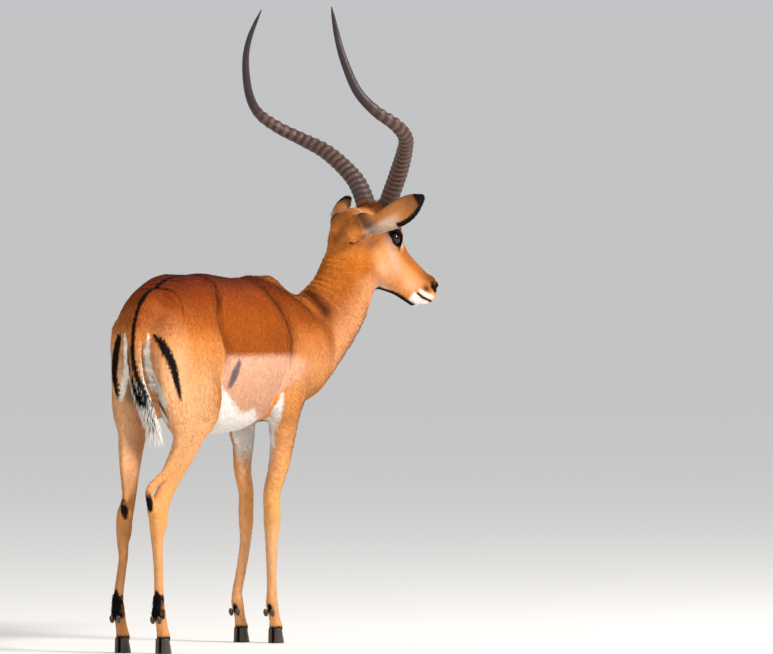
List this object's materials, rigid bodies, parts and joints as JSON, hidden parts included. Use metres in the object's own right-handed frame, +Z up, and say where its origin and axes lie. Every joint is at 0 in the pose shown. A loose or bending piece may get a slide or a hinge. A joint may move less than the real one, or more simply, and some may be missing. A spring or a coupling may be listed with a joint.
{
  "type": "impala antelope",
  "caption": "Adult male impala standing on cloven hooves, its head turned to its right: long ridged horns, broad ears, short coat and a fringed tail.",
  "frame": {"origin": "on the floor, under the middle of the whole animal's bounding box", "axes": "+Z up; the body faces -Y, its left side is +X, and its head is turned to its right"},
  "size_m": [0.4966, 1.182, 1.562],
  "materials": {
    "coat": "short matt hair on hide",
    "white_hair": "long soft hair",
    "horn": "ridged keratin, satin",
    "hoof": "smooth keratin, satin",
    "eye": "wet gloss"
  },
  "bodies": {
    "root": {"head": "coat", "neck": "coat", "trunk": "coat", "tail": "coat", "fore_leg_left_upper": "coat", "fore_leg_left_lower": "coat", "fore_leg_right_upper": "coat", "fore_leg_right_lower": "coat", "hind_leg_left_upper": "coat", "hind_leg_left_lower": "coat", "hind_leg_right_upper": "coat", "hind_leg_right_lower": "coat", "tail_brush": "white_hair", "ear_left": "coat", "eye_left": "eye", "horn_left": "horn", "ear_right": "coat", "eye_right": "eye", "horn_right": "horn", "hoof_fore_left_inner": "hoof", "hoof_fore_left_outer": "hoof", "hoof_fore_right_inner": "hoof", "hoof_fore_right_outer": "hoof", "hoof_hind_left_inner": "hoof", "hoof_hind_left_outer": "hoof", "hoof_hind_right_inner": "hoof", "hoof_hind_right_outer": "hoof"}
  },
  "joints": []
}
